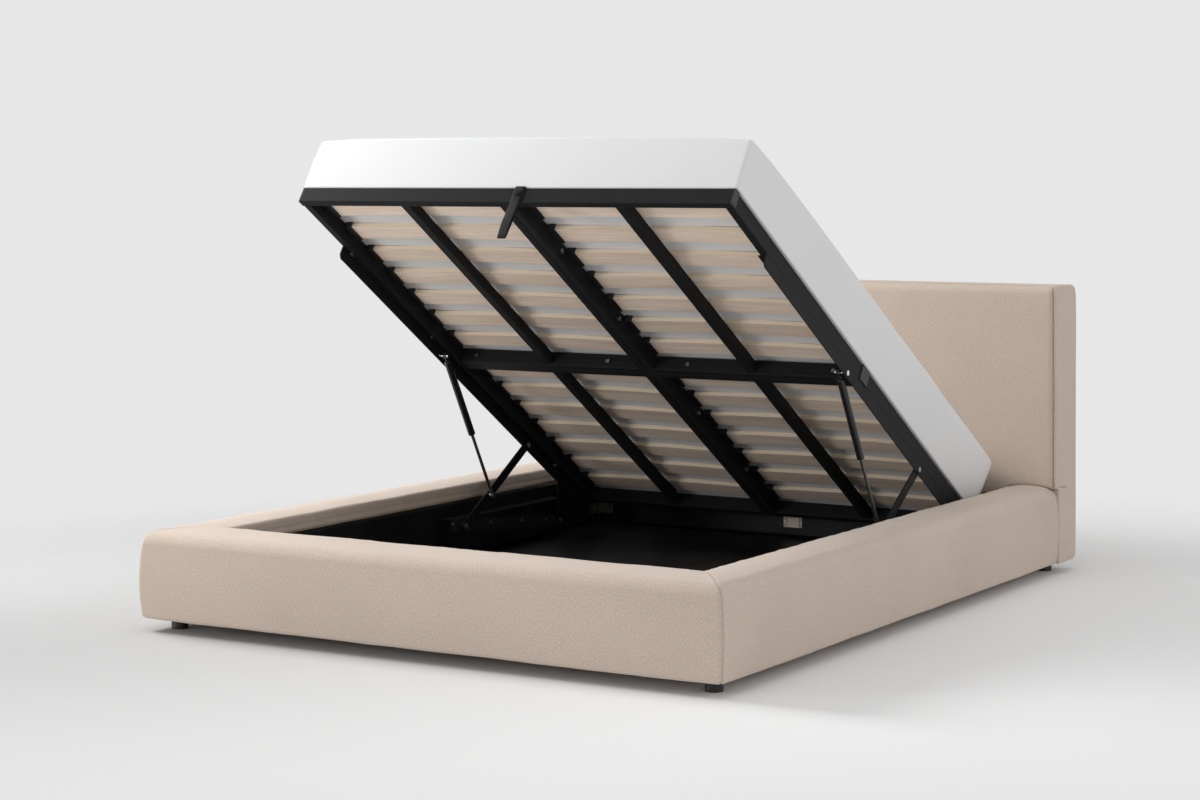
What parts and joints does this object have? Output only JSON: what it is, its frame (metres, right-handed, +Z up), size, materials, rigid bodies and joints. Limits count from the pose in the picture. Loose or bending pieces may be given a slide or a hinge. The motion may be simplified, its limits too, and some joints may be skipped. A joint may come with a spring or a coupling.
{
  "type": "ottoman storage bed",
  "caption": "Upholstered double bed with padded rails and headboard, a slatted steel frame that lifts on linkages and gas struts, and lined storage under the mattress",
  "frame": {"origin": "on the floor, under the middle of the bed's footprint", "axes": "+X to the side, +Y from foot to headboard, +Z up"},
  "size_m": [1.8, 2.36, 1.3425],
  "materials": {
    "linen": "matte woven",
    "timber": "raw",
    "lining": "satin",
    "floor_board": "black cloth faced",
    "foot_plastic": "matte",
    "black_plastic": "matte",
    "black_steel": "satin powder coat",
    "strut_black": "gloss",
    "zinc": "zinc plated",
    "chrome": "bright",
    "birch": "sanded",
    "webbing": "woven",
    "mattress": "smooth knit"
  },
  "bodies": {
    "base": {"side_rail_cover_left": "linen", "side_rail_cover_right": "linen", "foot_rail_cover": "linen", "headboard_cover": "linen", "headboard_pad": "linen", "side_rail_core_left": "timber", "side_rail_core_right": "timber", "foot_rail_core": "timber", "headboard_uprights": "timber", "headboard_cross_rails": "timber", "headboard_front_panel": "timber", "headboard_back_panel": "timber", "head_rail": "timber", "lining_left": "lining", "lining_right": "lining", "lining_foot": "lining", "lining_head": "lining", "storage_floor_panels": "floor_board", "floor_bearer": "timber", "floor_ledgers": "timber", "corner_feet": "foot_plastic", "centre_feet": "foot_plastic", "corner_brackets": "zinc", "head_wall_plate": "zinc", "bracket_screws": "zinc", "base_bracket_left": "black_steel", "base_bracket_right": "black_steel", "bracket_battens": "floor_board", "bracket_bolts": "zinc", "base_pivot_pins": "zinc"},
    "front_link_left": {"front_link_left": "black_steel"},
    "front_link_right": {"front_link_right": "black_steel"},
    "rear_link_left": {"rear_link_left": "black_steel"},
    "rear_link_right": {"rear_link_right": "black_steel"},
    "strut_cylinder_left": {"strut_cylinder_left": "strut_black"},
    "strut_cylinder_right": {"strut_cylinder_right": "strut_black"},
    "strut_rod_left": {"strut_rod_left": "chrome"},
    "strut_rod_right": {"strut_rod_right": "chrome"},
    "lift_frame": {"foot_cross_tubes": "black_steel", "mid_cross_tubes": "black_steel", "head_cross_tubes": "black_steel", "side_tubes": "black_steel", "centre_tubes": "black_steel", "inner_bars": "black_steel", "tube_end_caps": "black_plastic", "frame_joint_bolts": "zinc", "slats_foot_left": "birch", "slats_foot_right": "birch", "slats_head_left": "birch", "slats_head_right": "birch", "slat_holders_left": "black_plastic", "slat_holders_right": "black_plastic", "angle_rail_left": "black_steel", "angle_rail_right": "black_steel", "angle_rail_bolts": "zinc", "pull_strap": "webbing", "strap_bolt": "zinc", "mattress": "mattress", "frame_pivot_pins": "zinc", "strut_studs": "chrome"}
  },
  "joints": [
    {"name": "frame_lift", "type": "hinge", "parent": "front_link_left", "child": "lift_frame", "pos_m": [-0.684, 0.44374, 0.37267], "axis": [1, 0, 0], "range_deg": [0, 57.92]},
    {"name": "front_link_left_hinge", "type": "hinge", "parent": "base", "child": "front_link_left", "pos_m": [-0.684, 0.087, 0.151], "axis": [1, 0, 0], "range_deg": [-25.07, 0]},
    {"name": "rear_link_left_hinge", "type": "hinge", "parent": "base", "child": "rear_link_left", "pos_m": [-0.684, 0.642, 0.105], "axis": [1, 0, 0], "range_deg": [-45.58, 0]},
    {"name": "strut_left_swing", "type": "hinge", "parent": "lift_frame", "child": "strut_cylinder_left", "pos_m": [-0.664, -0.05106, 0.69038], "axis": [1, 0, 0], "range_deg": [0, 23.37]},
    {"name": "strut_left_stroke", "type": "slide", "parent": "strut_cylinder_left", "child": "strut_rod_left", "axis": [0, 0.4959, -0.8684], "range_m": [-0.20577, 0]},
    {"name": "front_link_right_hinge", "type": "hinge", "parent": "base", "child": "front_link_right", "pos_m": [0.684, 0.087, 0.151], "axis": [1, 0, 0], "range_deg": [-25.07, 0]},
    {"name": "rear_link_right_hinge", "type": "hinge", "parent": "base", "child": "rear_link_right", "pos_m": [0.684, 0.642, 0.105], "axis": [1, 0, 0], "range_deg": [-45.58, 0]},
    {"name": "strut_right_swing", "type": "hinge", "parent": "lift_frame", "child": "strut_cylinder_right", "pos_m": [0.664, -0.05106, 0.69038], "axis": [1, 0, 0], "range_deg": [0, 23.37]},
    {"name": "strut_right_stroke", "type": "slide", "parent": "strut_cylinder_right", "child": "strut_rod_right", "axis": [0, 0.4959, -0.8684], "range_m": [-0.20577, 0]}
  ],
  "couplings": [
    {"joint": "front_link_left_hinge", "follows": "frame_lift", "ratio": -0.43196},
    {"joint": "rear_link_left_hinge", "follows": "frame_lift", "ratio": -0.78618},
    {"joint": "strut_left_swing", "follows": "frame_lift", "ratio": 0.40265},
    {"joint": "strut_left_stroke", "follows": "frame_lift", "m_per_rad": -0.20336},
    {"joint": "front_link_right_hinge", "follows": "frame_lift", "ratio": -0.43196},
    {"joint": "rear_link_right_hinge", "follows": "frame_lift", "ratio": -0.78618},
    {"joint": "strut_right_swing", "follows": "frame_lift", "ratio": 0.40265},
    {"joint": "strut_right_stroke", "follows": "frame_lift", "m_per_rad": -0.20336}
  ]
}
